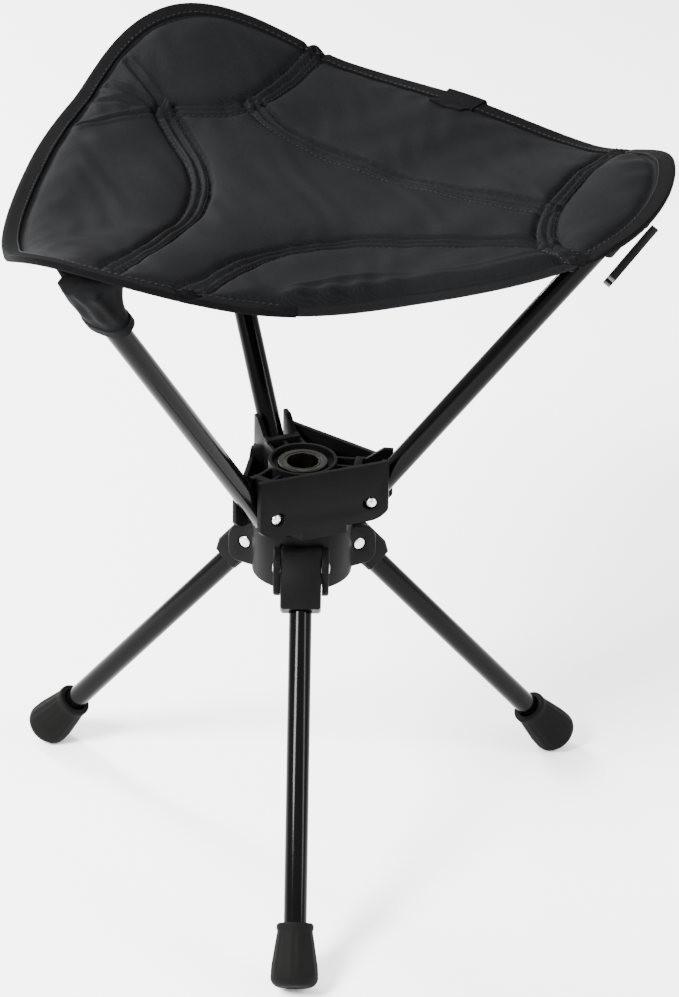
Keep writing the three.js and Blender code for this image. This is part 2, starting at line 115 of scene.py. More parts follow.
class Nodes:
    """Short calls for building a material's node tree."""

    def __init__(self, name, color, roughness, metallic=0.0, specular=0.5):
        self.material = bpy.data.materials.new(name)
        self.material.use_nodes = True
        self.tree = self.material.node_tree
        self.shader = self.tree.nodes["Principled BSDF"]
        self.shader.inputs["Base Color"].default_value = (*color, 1.0)
        self.shader.inputs["Roughness"].default_value = roughness
        self.shader.inputs["Metallic"].default_value = metallic
        self.shader.inputs["Specular IOR Level"].default_value = specular
        self.coords = self.tree.nodes.new("ShaderNodeTexCoord").outputs["Object"]

    def node(self, kind, **inputs):
        made = self.tree.nodes.new(kind)
        for name, value in inputs.items():
            self.feed(made.inputs[name.replace("_", " ")], value)
        return made

    def feed(self, socket, value):
        if isinstance(value, bpy.types.NodeSocket):
            self.tree.links.new(value, socket)
        else:
            socket.default_value = value

    def math(self, operation, a, b=0.0):
        made = self.tree.nodes.new("ShaderNodeMath")
        made.operation = operation
        self.feed(made.inputs[0], a)
        self.feed(made.inputs[1], b)
        return made.outputs[0]

    def noise(self, scale, detail=3.0, roughness=0.5):
        made = self.node("ShaderNodeTexNoise", Vector=self.coords, Scale=scale, Detail=detail,
                         Roughness=roughness)
        return made.outputs["Fac"]

    def ramp(self, value, low, high, start=0.0, end=1.0):
        """Maps value from start..end to the two greys or colours."""
        made = self.node("ShaderNodeMapRange", Value=value)
        made.inputs["From Min"].default_value = start
        made.inputs["From Max"].default_value = end
        made.inputs["To Min"].default_value = low
        made.inputs["To Max"].default_value = high
        return made.outputs["Result"]

    def blend(self, factor, a, b):
        made = self.tree.nodes.new("ShaderNodeMix")
        made.data_type = "RGBA"
        self.feed(made.inputs["Factor"], factor)
        self.feed(made.inputs["A"], (*a, 1.0))
        self.feed(made.inputs["B"], (*b, 1.0))
        return made.outputs["Result"]

    def bump(self, height, strength, distance, onto=None):
        made = self.node("ShaderNodeBump", Height=height, Strength=strength, Distance=distance)
        if onto is not None:
            self.tree.links.new(onto, made.inputs["Normal"])
        return made.outputs["Normal"]

    def finish(self, **sockets):
        for name, value in sockets.items():
            self.feed(self.shader.inputs[name.replace("_", " ")], value)
        return self.material


def powder_coat():
    """Satin black powder coat with a fine orange-peel skin."""
    n = Nodes("powder_coat", (0.0016, 0.0016, 0.0018), 0.13, specular=0.055)
    peel = n.noise(900.0, 2.0)
    tone = n.noise(40.0, 3.0)
    color = n.blend(tone, (0.0007, 0.0007, 0.0008), (0.0013, 0.0013, 0.0014))
    return n.finish(Base_Color=color, Roughness=n.ramp(tone, 0.1, 0.16),
                    Normal=n.bump(peel, 0.12, 0.0002))


def moulded_plastic():
    """Black moulded nylon: fine spark-eroded grain and a slightly mottled gloss."""
    n = Nodes("moulded_plastic", (0.0026, 0.0026, 0.0028), 0.42, specular=0.03)
    grain = n.noise(1600.0, 2.0)
    tone = n.noise(60.0, 4.0)
    color = n.blend(tone, (0.002, 0.002, 0.0022), (0.0034, 0.0034, 0.0036))
    return n.finish(Base_Color=color, Roughness=n.ramp(tone, 0.36, 0.5),
                    Normal=n.bump(grain, 0.22, 0.0002))


def foot_rubber():
    """Matt black rubber, dusty in the low places of its skin."""
    n = Nodes("foot_rubber", (0.003, 0.003, 0.003), 0.6, specular=0.03)
    grain = n.noise(700.0, 4.0)
    dust = n.noise(90.0, 5.0, 0.7)
    color = n.blend(dust, (0.0022, 0.0022, 0.0022), (0.0045, 0.0045, 0.0043))
    return n.finish(Base_Color=color, Roughness=n.ramp(dust, 0.55, 0.78),
                    Normal=n.bump(grain, 0.3, 0.0003))


def bright_steel():
    """Zinc-plated rivets and washer with light scuffs."""
    n = Nodes("bright_steel", (0.62, 0.62, 0.63), 0.25, metallic=1.0)
    scuff = n.noise(500.0, 5.0, 0.7)
    color = n.blend(scuff, (0.45, 0.45, 0.46), (0.72, 0.72, 0.73))
    return n.finish(Base_Color=color, Roughness=n.ramp(scuff, 0.18, 0.42),
                    Normal=n.bump(scuff, 0.1, 0.0002))


def oiled_steel():
    """Dull brownish pivot tube."""
    n = Nodes("oiled_steel", (0.012, 0.010, 0.006), 0.4, metallic=1.0)
    stain = n.noise(220.0, 5.0, 0.65)
    color = n.blend(stain, (0.005, 0.0045, 0.003), (0.016, 0.013, 0.008))
    return n.finish(Base_Color=color, Roughness=n.ramp(stain, 0.3, 0.55),
                    Normal=n.bump(stain, 0.15, 0.0002))


def threads(n, pitch, turn=0.0):
    """Two crossed sets of threads, at pitch metres, as a height from 0 to 1."""
    mapping = n.node("ShaderNodeMapping", Vector=n.coords)
    mapping.inputs["Rotation"].default_value = (0.0, 0.0, turn)
    split = n.node("ShaderNodeSeparateXYZ", Vector=mapping.outputs["Vector"])
    waves = []
    for axis, slant in (("X", 0.8), ("Y", -0.7)):
        slanted = n.math("MULTIPLY", split.outputs["Z"], slant)
        place = n.math("ADD", split.outputs[axis], slanted)
        angle = n.math("MULTIPLY", place, 2 * math.pi / pitch)
        waves.append(n.math("SINE", angle))
    crossed = n.math("MULTIPLY", waves[0], waves[1])
    return n.math("MULTIPLY_ADD", crossed, 0.5)


def oxford_weave():
    """Black coated oxford cloth: a basket weave with slubs, with a painted highlight on its high
    threads and painted shade between them.
    """
    n = Nodes("oxford_weave", (0.0036, 0.0037, 0.004), 0.55, specular=0.015)
    weave = threads(n, 1.5 * MM, 0.12)
    slub = n.noise(420.0, 3.0, 0.6)
    cloud = n.noise(16.0, 5.0, 0.6)
    # Painted light: the weave's thread crests are painted paler and the gaps between them darker, as a
    # painted highlight and painted shade; the slubs add a real random tone.
    crest_highlight_and_slub = n.math("ADD", n.math("MULTIPLY", weave, 0.6), n.math("MULTIPLY", slub, 0.55))
    color = n.blend(crest_highlight_and_slub, (0.0013, 0.0013, 0.0015), (0.0048, 0.0049, 0.0053))
    height = n.math("ADD", weave, n.math("MULTIPLY", slub, 0.8))
    fine = n.bump(height, 0.5, 0.0004)
    return n.finish(Base_Color=color, Roughness=n.ramp(cloud, 0.52, 0.72),
                    Normal=n.bump(cloud, 0.25, 0.003, fine))


def binding_tape():
    """Grosgrain edge tape: fine cross ribs and a dull face."""
    n = Nodes("binding_tape", (0.003, 0.003, 0.0033), 0.6, specular=0.012)
    ribs = threads(n, 1.1 * MM, 0.7)
    fuzz = n.noise(600.0, 3.0)
    color = n.blend(fuzz, (0.001, 0.001, 0.0011), (0.003, 0.003, 0.0033))
    return n.finish(Base_Color=color, Roughness=n.ramp(fuzz, 0.58, 0.75),
                    Normal=n.bump(ribs, 0.45, 0.0004))


def sewing_thread():
    """Bonded black thread, a little shinier than the cloth."""
    n = Nodes("sewing_thread", (0.006, 0.006, 0.0066), 0.45, specular=0.05)
    twist = n.noise(1500.0, 2.0)
    color = n.blend(twist, (0.004, 0.004, 0.0044), (0.009, 0.009, 0.0098))
    return n.finish(Base_Color=color, Normal=n.bump(twist, 0.3, 0.0002))


def hook_plastic():
    """Black moulded hook plate, faintly warm, with a grained face."""
    n = Nodes("hook_plastic", (0.005, 0.0044, 0.0042), 0.35, specular=0.08)
    grain = n.noise(1200.0, 3.0)
    tone = n.noise(80.0, 3.0)
    color = n.blend(tone, (0.003, 0.0026, 0.0025), (0.007, 0.006, 0.0057))
    return n.finish(Base_Color=color, Normal=n.bump(grain, 0.2, 0.0002))


FINISH = {
    "tube": powder_coat(),
    "plastic": moulded_plastic(),
    "rubber": foot_rubber(),
    "rivet": bright_steel(),
    "spindle": oiled_steel(),
    "fabric": oxford_weave(),
    "webbing": binding_tape(),
    "buckle": hook_plastic(),
    "thread": sewing_thread(),
}
BODY_OF = {node: body for body, nodes in frame["record"]["behaviour"]["bodies"].items()
           for node in nodes}

# ---------------------------------------------------------------- mesh helpers


def new_piece(name, verts, faces, finish, smooth_angle=35.0):
    """A mesh object in the row frame with one finish and creases above smooth_angle degrees."""
    mesh = bpy.data.meshes.new(name)
    mesh.from_pydata([tuple(v) for v in verts], [], [tuple(f) for f in faces])
    mesh.validate()
    mesh.materials.append(FINISH[finish])
    obj = bpy.data.objects.new(name, mesh)
    bpy.context.scene.collection.objects.link(obj)
    soften(obj, smooth_angle)
    return obj


def soften(obj, angle):
    """Smooth shading, with edges sharper than angle degrees kept hard."""
    mesh = obj.data
    mesh.polygons.foreach_set("use_smooth", [True] * len(mesh.polygons))
    mesh.set_sharp_from_angle(angle=math.radians(angle))
    mesh.update()


def settle(obj, node):
    """Puts a finished rigid piece on its node's body in place of the node."""
    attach(obj, BODY_OF[node])
    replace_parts(obj, node)
    return obj


def turned(name, profile, matrix, finish, sides=72, flutes=None):
    """A closed profile of [radius, z] in mm, turned about the matrix's Z. flutes(angle, radius, z)
    may change the radius."""
    verts = []
    for i in range(sides):
        angle = 2 * math.pi * i / sides
        for r, z in profile:
            radius = flutes(angle, r, z) if flutes else r
            local = Vector((radius * math.cos(angle), radius * math.sin(angle), z)) * MM
            verts.append(matrix @ local)
    count = len(profile)
    faces = []
    for i in range(sides):
        for k in range(count):
            a = i * count + k
            b = i * count + (k + 1) % count
            c = ((i + 1) % sides) * count + (k + 1) % count
            d = ((i + 1) % sides) * count + k
            faces.append((a, d, c, b))
    obj = new_piece(name, verts, faces, finish)
    tidy_mesh(obj)
    return obj


def tidy_mesh(obj, merge=1e-6):
    """Merges doubled points, drops flat faces and turns the faces outwards."""
    bm = bmesh.new()
    bm.from_mesh(obj.data)
    bmesh.ops.remove_doubles(bm, verts=bm.verts, dist=merge)
    bmesh.ops.dissolve_degenerate(bm, edges=bm.edges, dist=merge)
    bmesh.ops.recalc_face_normals(bm, faces=bm.faces)
    bm.to_mesh(obj.data)
    bm.free()


def rounded(points, radius, steps=4):
    """A closed outline with each corner replaced by a small arc of about that radius."""
    result = []
    count = len(points)
    for i in range(count):
        before = Vector(points[i - 1])
        here = Vector(points[i])
        after = Vector(points[(i + 1) % count])
        reach_in = min(radius, (before - here).length * 0.45)
        reach_out = min(radius, (after - here).length * 0.45)
        start = here + (before - here).normalized() * reach_in
        end = here + (after - here).normalized() * reach_out
        for step in range(steps + 1):
            t = step / steps
            result.append(tuple(start * (1 - t) ** 2 + here * 2 * t * (1 - t) + end * t * t))
    return result


def apply_modifiers(obj):
    """Bakes the object's modifiers into its mesh."""
    graph = bpy.context.evaluated_depsgraph_get()
    made = bpy.data.meshes.new_from_object(obj.evaluated_get(graph))
    obj.modifiers.clear()
    old = obj.data
    obj.data = made
    bpy.data.meshes.remove(old)


def refined(node, edge, finish):
    """A copy of a CAD node with its facets joined, its edges rounded and its curves smooth."""
    source = frame["nodes"][node]
    mesh = source.data.copy()
    mesh.materials.clear()
    mesh.materials.append(FINISH[finish])
    obj = bpy.data.objects.new(f"{node}_body", mesh)
    bpy.context.scene.collection.objects.link(obj)
    bm = bmesh.new()
    bm.from_mesh(mesh)
    bmesh.ops.remove_doubles(bm, verts=bm.verts, dist=2e-6)
    bmesh.ops.dissolve_limit(bm, angle_limit=math.radians(1.0), verts=bm.verts, edges=bm.edges)
    bm.to_mesh(mesh)
    bm.free()
    bevel = obj.modifiers.new("round", "BEVEL")
    bevel.width = edge * MM
    bevel.segments = 3
    bevel.limit_method = "ANGLE"
    bevel.angle_limit = math.radians(32)
    bevel.use_clamp_overlap = True
    bpy.context.view_layer.update()
    apply_modifiers(obj)
    soften(obj, 40.0)
    return settle(obj, node)


# ---------------------------------------------------------------- tubes, rivets, feet, caps


def node_span(node, matrix):
    """The node's extent along the matrix's Z, in mm."""
    inverse = matrix.inverted()
    heights = [(inverse @ v.co).z / MM for v in frame["nodes"][node].data.vertices]
    return min(heights), max(heights)


TUBE_R = 8.0
TUBE_WALL = 1.2
RIVET_HEAD_R = 4.25
RIVET_PIN_R = 3.0
RIVET_DIMPLE = 0.5


def tube(node, matrix):
    """A coated tube as long as its CAD node, with softened rims."""
    low, high = node_span(node, matrix)
    bore = TUBE_R - TUBE_WALL
    profile = rounded([(bore, low), (TUBE_R, low), (TUBE_R, high), (bore, high)], 0.4, 3)
    return settle(turned(f"{node}_coated", profile, matrix, "tube"), node)


def rivet(node, matrix, inner, outer):
    """A pin with a domed head at each end and a small dimple in the middle of each head."""
    half = []
    for t in range(7):
        angle = math.pi / 2 * t / 6
        half.append((RIVET_HEAD_R * math.cos(angle) if t < 6 else 0.9,
                     inner + RIVET_DIMPLE + (outer - inner - RIVET_DIMPLE) * math.sin(angle)))
    half.append((0.0, outer - RIVET_DIMPLE))
    profile = [(0.0, 0.0), (RIVET_PIN_R, 0.0), (RIVET_PIN_R, inner), (RIVET_HEAD_R, inner)] + half
    across = matrix @ Matrix.Rotation(math.pi / 2, 4, "X")
    far = matrix @ Matrix.Rotation(-math.pi / 2, 4, "X")
    first = turned(f"{node}_head", profile, across, "rivet", 40)
    second = turned(f"{node}_tail", profile, far, "rivet", 40)
    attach(second, BODY_OF[node])
    return settle(first, node)


def foot(node, matrix):
    """A moulded rubber foot: a rolled lip at its mouth, a waist, fine flutes and a round toe."""
    start, tip = node_span(node, matrix)
    bore = 8.3
    profile = [(0.0, tip), (0.0, tip - 9.0), (bore, tip - 9.0), (bore, start + 1.0)]
    profile += [(bore + 0.8, start), (12.0, start), (12.9, start + 1.2), (12.9, start + 3.6)]
    profile += [(12.3, start + 5.0), (12.9, start + 8.0), (14.2, start + 16.0), (15.4, start + 24.0)]
    profile += [(16.2, start + 29.0), (16.5, start + 32.5)]
    for step in range(7):
        angle = math.pi / 2 * step / 6
        profile.append((9.5 + 7.0 * math.cos(angle), tip - 7.0 + 7.0 * math.sin(angle)))
    profile.reverse()

    def flutes(angle, radius, z):
        inside = start + 6.0 < z < tip - 7.5 and radius > bore + 2.0
        return radius - (0.35 * (0.5 + 0.5 * math.cos(16 * angle)) if inside else 0.0)

    obj = turned(f"{node}_rubber", profile, matrix, "rubber", 128, flutes)
    for vertex in obj.data.vertices:
        vertex.co.z = max(vertex.co.z, 0.0)
    return settle(obj, node)


for name in LEGS:
    place = leg_matrix(name)
    tube(f"leg_tube_{name}", place)
    rivet(f"leg_rivet_{name}", place, 18.7, 20.3)
    foot(f"foot_{name}", place)
    refined(f"leg_knuckle_{name}", 1.2, "plastic")

for name in ARMS:
    place = arm_matrix(name)
    tube(f"arm_tube_{name}", place)
    rivet(f"arm_rivet_{name}", place, 16.3, 19.8)
    refined(f"arm_tail_plug_{name}", 0.4, "plastic")
    refined(f"arm_tip_cap_{name}", 0.4, "plastic")

refined("lower_hub", 0.7, "plastic")
refined("upper_hub", 0.6, "plastic")
refined("swivel_bushing", 0.3, "plastic")
refined("spindle", 0.3, "spindle")
refined("retaining_ring", 0.4, "spindle")
refined("thrust_washer", 0.3, "rivet")

# ---------------------------------------------------------------- seat surface

TAPE_ROOM = 2.4                  # the cloth stops this short of the CAD panel, for the edge tape
EDGE_STATIONS = 12               # places where the edge is read, from the right arm round
RIM_FROM = 170.0                 # every point farther out than this is on one of the rim's spokes


def panel_edge():
    """The CAD seat panel's edge at even stations from the right arm: distances and heights."""
    corners = np.array([v.co for v in frame["nodes"]["seat_panel"].data.vertices])
    flat = corners[:, :2] - np.array([AXIS.x, AXIS.y])
    turn = np.round(np.degrees(np.arctan2(flat[:, 1], flat[:, 0]) - SEAT_TURN) % 360.0, 1)
    reach = np.hypot(flat[:, 0], flat[:, 1])
    rim = []
    for azimuth in np.unique(turn[reach > RIM_FROM * MM]):
        spoke = np.nonzero(turn == azimuth)[0]
        outermost = spoke[np.argmax(reach[spoke])]
        rim.append((azimuth, reach[outermost] / MM, corners[outermost, 2] / MM))
    azimuths, radii, heights = np.array(rim).T
    stations = np.arange(EDGE_STATIONS) * 360.0 / EDGE_STATIONS
    return (np.interp(stations, azimuths, radii, period=360.0) - TAPE_ROOM,
            np.interp(stations, azimuths, heights, period=360.0))


SEAT_EDGE_R, SEAT_EDGE_Z = panel_edge()
SEAT_CENTRE_Z = 498.0
AROUND = 540                     # points round the seat, a multiple of six
RINGS = 120                      # rings from the centre to the edge
EDGE_HALF = 2.0                  # half the thickness at the edge
MIDDLE_HALF = 3.4                # and in the middle
BINDING_WIDTH = 10.0
BINDING_THICK = 0.9
STITCH_LENGTH = 3.0
STITCH_PITCH = 4.3
STITCH_R = 0.38
SEAM_STITCH_OFFSET = 5.2         # either side of a seam
SEAM_CORD = 3.0                  # from a seam to the crest of the cord beside it
SEAM_GROOVE = 7.0                # and to the groove beyond the cord
PUFF = 5.4                       # how far the padding stands over the seams
PUFF_RISE = 26.0                 # how far beyond the groove it is fully risen
BORDER_WIDTH = 14.0              # flat strip along the edge
BORDER_RISE = 24.0               # and how far inside it the padding is fully risen
FRONT_CREST = 22.0               # ridge along the turned-over front edge, from the edge
FRONT_VALLEY = 12.0              # and the hollow outside it
FRONT_CREASE = 33.0              # a wavering crease farther in
FOLD_START = math.radians(277)   # between these the front panel folds under instead
FOLD_END = math.radians(325)


def round_edge(values, azimuth):
    """A smooth value between the ones given at the edge's stations."""
    place = np.mod(np.degrees(azimuth), 360.0) / (360.0 / EDGE_STATIONS)
    first = np.floor(place).astype(int)
    t = place - first
    a, b, c, d = (values[(first + step) % EDGE_STATIONS] for step in (EDGE_STATIONS - 1, 0, 1, 2))
    square = 2 * a - 5 * b + 4 * c - d
    cube = 3 * b - a - 3 * c + d
    return b + ((c - a) * t + square * t ** 2 + cube * t ** 3) / 2


def spline(points, steps=14):
    """A smooth curve through the given points."""
    p = [np.array(q, float) for q in points]
    p = [2 * p[0] - p[1]] + p + [2 * p[-1] - p[-2]]
    curve = []
    for i in range(1, len(p) - 2):
        for step in range(steps):
            t = step / steps
            a = 2 * p[i]
            b = p[i + 1] - p[i - 1]
            c = 2 * p[i - 1] - 5 * p[i] + 4 * p[i + 1] - p[i + 2]
            d = 3 * p[i] - p[i - 1] - 3 * p[i + 1] + p[i + 2]
            curve.append(0.5 * (a + b * t + c * t * t + d * t ** 3))
    curve.append(p[-2])
    return np.array(curve)


# Seams in the seat's plan, in mm: +X towards the right arm, from the swivel axis.
GATHER = (-115, 100)             # where the pleats of the left side meet
SEAMS = {
    "nose": spline([(205, 70), (185, 10), (170, -50), (175, -100), (200, -135)]),
    "back_lobe": spline([GATHER, (-75, 105), (-50, 130), (-30, 190), (-25, 215)]),
    "left_lobe": spline([GATHER, (-80, 30), (-70, -30), (-80, -110), (-95, -205)]),
    "back_side": spline([(-55, 120), (-35, 95), (0, 70), (70, 25), (170, -40)]),
    "front_side": spline([(-45, -210), (-15, -120), (30, -80), (70, -75), (175, -95)]),
}
GATHERS = [(GATHER, end) for end in ((-150, 145), (-160, 120), (-165, 105), (-170, 70))]


def near_curve(points, curve):
    """Distance from each plan point to a polyline, and how far along the nearest place is."""
    best = np.full(len(points), 1e9)
    along = np.zeros(len(points))
    done = 0.0
    for a, b in zip(curve[:-1], curve[1:]):
        ab = b - a
        length = np.linalg.norm(ab)
        t = np.clip(((points - a) @ ab) / max(ab @ ab, 1e-9), 0, 1)
        distance = np.linalg.norm(points - (a + t[:, None] * ab), axis=1)
        closer = distance < best
        best = np.where(closer, distance, best)
        along = np.where(closer, done + t * length, along)
        done += length
    return best, along


def bell(x, width):
    """A smooth bump, 1 at 0 and almost nothing at twice the width."""
    return np.exp(-(x / width) ** 2)


def within(x, start, end, soft):
    """1 between start and end, fading to 0 over soft on either side."""
    return np.clip((x - start) / soft + 1, 0, 1) * np.clip((end - x) / soft + 1, 0, 1)


def top_relief(azimuth, ratio):
    """Height of the sewn face above the plain surface, in mm, for arrays of places."""
    radius = round_edge(SEAT_EDGE_R, azimuth)
    points = np.column_stack((radius * ratio * np.cos(azimuth), radius * ratio * np.sin(azimuth)))
    from_edge = (1 - ratio) * radius
    seam = np.full(len(points), 1e9)
    relief = np.zeros(len(points))
    for curve in SEAMS.values():
        d, along = near_curve(points, curve)
        seam = np.minimum(seam, d)
        pucker = 1 + 0.18 * np.sin(along * 0.75) + 0.12 * np.sin(along * 0.31 + 1.0)
        relief += 2.0 * bell(d - SEAM_CORD, 1.8) - 1.9 * bell(d, 0.9)
        relief -= 2.5 * pucker * bell(d - SEAM_GROOVE, 1.5)
    clear = np.clip((seam - SEAM_GROOVE) / PUFF_RISE, 0, 1)
    border = np.clip((from_edge - BORDER_WIDTH) / BORDER_RISE, 0, 1)
    relief += PUFF * np.sqrt(clear * (2 - clear)) * np.sqrt(border * (2 - border))
    for start, end in GATHERS:
        d, _ = near_curve(points, np.array([start, end], float))
        relief += 1.5 * bell(d - 3.5, 2.0) - 2.4 * bell(d, 1.7)
    turn = np.mod(azimuth, 2 * math.pi)
    front = within(turn, FOLD_START, FOLD_END, 0.12)
    relief += front * (1.8 * bell(from_edge - FRONT_CREST, 5) - 2.2 * bell(from_edge - FRONT_VALLEY, 4))
    relief += front * 1.1 * bell(from_edge - FRONT_CREASE - 4 * np.sin(turn * 9), 3)
    relief -= front * 4.5 * bell(from_edge, 7)
    ripple = np.sin(points[:, 0] * 0.085 + 1.7 * np.sin(points[:, 1] * 0.031))
    cross = np.sin(points[:, 1] * 0.062 + 2.1 * np.sin(points[:, 0] * 0.022 + 1.0))
    relief += 0.9 * ripple * cross * border
    fine = np.sin(points[:, 0] * 0.21 + points[:, 1] * 0.13 + 2.0 * ripple)
    relief += 0.25 * fine * border
    pull = np.sin(azimuth * 36 + 3 * np.sin(azimuth * 5))
    relief += 1.1 * pull * bell(from_edge - 22, 9) * (0.4 + 0.6 * np.cos(azimuth * 1.5 + 2.4) ** 2)
    relief -= (1 - front) * 2.0 * bell(from_edge - BINDING_WIDTH - 1.6, 1.3)
    return relief


def top_lift(azimuth, ratio):
    """Lift of the upper face over the middle surface, in mm."""
    return MIDDLE_HALF + (EDGE_HALF - MIDDLE_HALF) * ratio + top_relief(azimuth, ratio)


def seat_points(azimuth, ratio, lift):
    """Points on the seat in metres, for arrays of azimuth, ratio and lift in mm."""
    reach = round_edge(SEAT_EDGE_R, azimuth) * ratio
    height = round_edge(SEAT_EDGE_Z, azimuth)
    z = SEAT_CENTRE_Z + (height - SEAT_CENTRE_Z) * ratio ** 2 + lift
    x = reach * np.cos(azimuth + SEAT_TURN)
    y = reach * np.sin(azimuth + SEAT_TURN)
    return np.column_stack((x * MM + AXIS.x, y * MM + AXIS.y, z * MM))


def place_of(points):
    """Azimuth and ratio of plan points in mm."""
    azimuth = np.arctan2(points[:, 1], points[:, 0])
    return azimuth, np.hypot(points[:, 0], points[:, 1]) / round_edge(SEAT_EDGE_R, azimuth)


def sector_azimuths(arm):
    """The azimuth steps of one arm's third of the seat, ends included."""
    centre = {"right": 0, "back": AROUND // 3, "left": 2 * AROUND // 3}[arm]
    return np.arange(centre - AROUND // 6, centre + AROUND // 6 + 1) * (2 * math.pi / AROUND)


def arm_of(azimuth):
    """The arm whose third of the seat an azimuth is in."""
    return ARMS[int(round(np.mod(azimuth, 2 * math.pi) / (2 * math.pi / 3))) % 3]


def follow_arm(obj):
    """Bakes a piece of the seat's placement into its mesh."""
    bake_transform(obj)


def grid_faces(columns, rows, closed=False):
    """Faces of a grid stored row by row. closed joins the last row to the first."""
    faces = []
    for r in range(rows if closed else rows - 1):
        for c in range(columns - 1):
            a = r * columns + c
            b = ((r + 1) % rows) * columns + c
            faces.append((a, a + 1, b + 1, b))
    return faces


def tape(name, rows):
    """A closed solid from rows of points that go round its section, with flat ends."""
    columns = len(rows[0])
    faces = grid_faces(columns, len(rows), closed=True)
    faces.append(tuple(r * columns for r in range(len(rows))))
    faces.append(tuple(r * columns + columns - 1 for r in reversed(range(len(rows)))))
    obj = new_piece(name, np.vstack(rows), faces, "webbing", 50)
    tidy_mesh(obj)
    soften(obj, 50)
    return obj


def seat_sector(arm):
    """A third of the padded seat: sewn upper face, rounded rim and plain underside."""
    azimuths = sector_azimuths(arm)
    columns = len(azimuths)
    rings = np.arange(0, RINGS + 1) / RINGS
    turn, ratio = np.meshgrid(azimuths, rings)
    lift = top_lift(turn.ravel(), ratio.ravel())
    top = seat_points(turn.ravel(), ratio.ravel(), lift)
    edge = np.ones(columns)
    edge_lift = lift[-columns:]
    rim = []
    for step in (1, 2, 3):
        angle = math.pi * step / 4
        height = edge_lift * (1 + math.cos(angle)) / 2 - EDGE_HALF * (1 - math.cos(angle)) / 2
        rim.append(seat_points(azimuths, edge + 0.007 * math.sin(angle), height))
    turn, ratio = turn[::-1].ravel(), ratio[::-1].ravel()
    half = MIDDLE_HALF + (EDGE_HALF - MIDDLE_HALF) * ratio
    sag = 0.8 * np.sin(turn * 9 + 6 * ratio) * (1 - ratio ** 6) * np.clip(ratio * 5, 0, 1)
    under = seat_points(turn, ratio, sag - half)
    rows = 2 * (RINGS + 1) + 3
    obj = new_piece(f"seat_cloth_{arm}", np.vstack([top] + rim + [under]),
                    grid_faces(columns, rows), "fabric", 180)
    tidy_mesh(obj)
    soften(obj, 180)
    follow_arm(obj)
    return obj


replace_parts([seat_sector(arm) for arm in ARMS][0], "seat_panel")

# ---------------------------------------------------------------- binding and stitches


def binding_strip(name, azimuths):
    """Edge tape folded over the rim: a closed thin band round each stretch of edge."""
    radius = round_edge(SEAT_EDGE_R, azimuths)
    outer, inner = [], []
    for inset in (BINDING_WIDTH, BINDING_WIDTH - 0.6, 7.5, 5.5, 3.5, 2.0, 0.7):
        ratio = 1 - inset / radius
        lift = top_lift(azimuths, ratio)
        proud = BINDING_THICK if inset < BINDING_WIDTH else 0.1
        outer.append(seat_points(azimuths, ratio, lift + proud))
        inner.append(seat_points(azimuths, ratio, lift - 0.4))
    edge_lift = top_lift(azimuths, np.ones(len(azimuths)))
    for step in range(1, 6):
        angle = math.pi * step / 6
        height = edge_lift * (1 + math.cos(angle)) / 2 - EDGE_HALF * (1 - math.cos(angle)) / 2
        out = 1.9 * math.sin(angle)
        outer.append(seat_points(azimuths, 1 + (out + BINDING_THICK) / radius,
                                 height + BINDING_THICK * math.cos(angle)))
        inner.append(seat_points(azimuths, 1 + (out - 0.5) / radius, height))
    for inset in (0.7, 4.0, 7.0, BINDING_WIDTH - 0.6, BINDING_WIDTH):
        ratio = 1 - inset / radius
        half = MIDDLE_HALF + (EDGE_HALF - MIDDLE_HALF) * ratio
        proud = BINDING_THICK if inset < BINDING_WIDTH else 0.1
        outer.append(seat_points(azimuths, ratio, -half - proud))
        inner.append(seat_points(azimuths, ratio, -half + 0.4))
    obj = tape(name, outer + inner[::-1])
    follow_arm(obj)


def bound_stretches(arm):
    """The parts of an arm's third of the edge that carry binding tape."""
    azimuths = sector_azimuths(arm)
    turn = np.mod(azimuths, 2 * math.pi)
    bare = (turn > FOLD_START) & (turn < FOLD_END)
    stretches, current = [], []
    for azimuth, skip in zip(azimuths, bare):
        if skip:
            stretches.append(current)
            current = []
        else:
            current.append(azimuth)
    stretches.append(current)
    return [np.array(s) for s in stretches if len(s) > 2]


def stitch_mesh(verts, faces, centre, along, up):
    """Adds one stitch: a short thread bowed over the cloth, sinking into it at both ends."""
    side = up.cross(along).normalized()
    first = len(verts)
    rings = 5
    for k in range(rings):
        t = k / (rings - 1)
        bow = math.sin(math.pi * t)
        size = STITCH_R * (0.55 + 0.45 * bow)
        mid = centre + along * (t - 0.5) * STITCH_LENGTH * MM + up * (bow * 0.55 - 0.25) * MM
        for m in range(6):
            angle = 2 * math.pi * m / 6
            verts.append(mid + (side * math.cos(angle) + up * math.sin(angle)) * size * MM)
    for k in range(rings - 1):
        for m in range(6):
            a = first + k * 6 + m
            b = first + k * 6 + (m + 1) % 6
            faces.append((a, b, b + 6, a + 6))
    faces.append(tuple(first + m for m in reversed(range(6))))
    faces.append(tuple(first + (rings - 1) * 6 + m for m in range(6)))


def walk(line, pitch):
    """Plan points every pitch mm along a polyline."""
    steps = np.linalg.norm(np.diff(line, axis=0), axis=1)
    place = np.concatenate(([0.0], np.cumsum(steps)))
    at = np.arange(pitch, place[-1] - pitch, pitch)
    return np.column_stack([np.interp(at, place, line[:, k]) for k in (0, 1)])


def offset_line(line, distance):
    """The polyline moved sideways."""
    direction = np.gradient(line, axis=0)
    direction /= np.linalg.norm(direction, axis=1)[:, None]
    return line + np.column_stack((-direction[:, 1], direction[:, 0])) * distance


def stitch_rows():
    """Every row of stitches as plan lines, with how far it stands over the sewn face."""
    rows = []
    for curve in SEAMS.values():
        rows += [(offset_line(curve, side * SEAM_STITCH_OFFSET), 0.0) for side in (1, -1)]
    for arm in ARMS:
        for azimuths in bound_stretches(arm):
            reach = round_edge(SEAT_EDGE_R, azimuths) - BINDING_WIDTH + 1.6
            line = np.column_stack((reach * np.cos(azimuths), reach * np.sin(azimuths)))
            rows.append((line, BINDING_THICK))
    return rows


